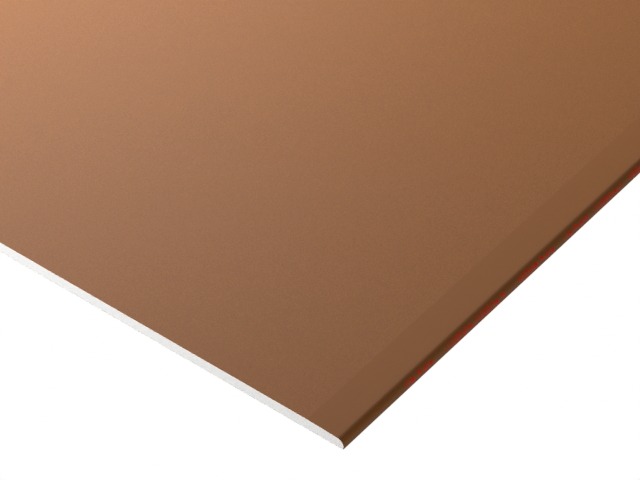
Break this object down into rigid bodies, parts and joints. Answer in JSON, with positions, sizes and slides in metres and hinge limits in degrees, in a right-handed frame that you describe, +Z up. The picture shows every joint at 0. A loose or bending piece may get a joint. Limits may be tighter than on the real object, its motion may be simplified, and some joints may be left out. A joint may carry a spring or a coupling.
{
  "type": "drywall sheet",
  "caption": "Flat gypsum sheet faced with brown paper, its long edges tapered, rounded and bound, its ends cut square.",
  "frame": {"origin": "centre of the underside, on the floor that the sheet lies on", "axes": "+X along the bound edges, +Y across the sheet, +Z up out of the face"},
  "size_m": [2, 1.25, 0.0125],
  "materials": {
    "gypsum": "matt, sawn near-white gypsum with fine pores",
    "face_paper": "smooth brown liner paper with a faint sheen",
    "back_paper": "plain matt grey-brown liner paper",
    "edge_ink": "red ink-jet marks soaked into the edge paper"
  },
  "bodies": {
    "root": {"gypsum_core": "gypsum", "face_paper": "face_paper", "back_paper": "back_paper"}
  },
  "joints": []
}
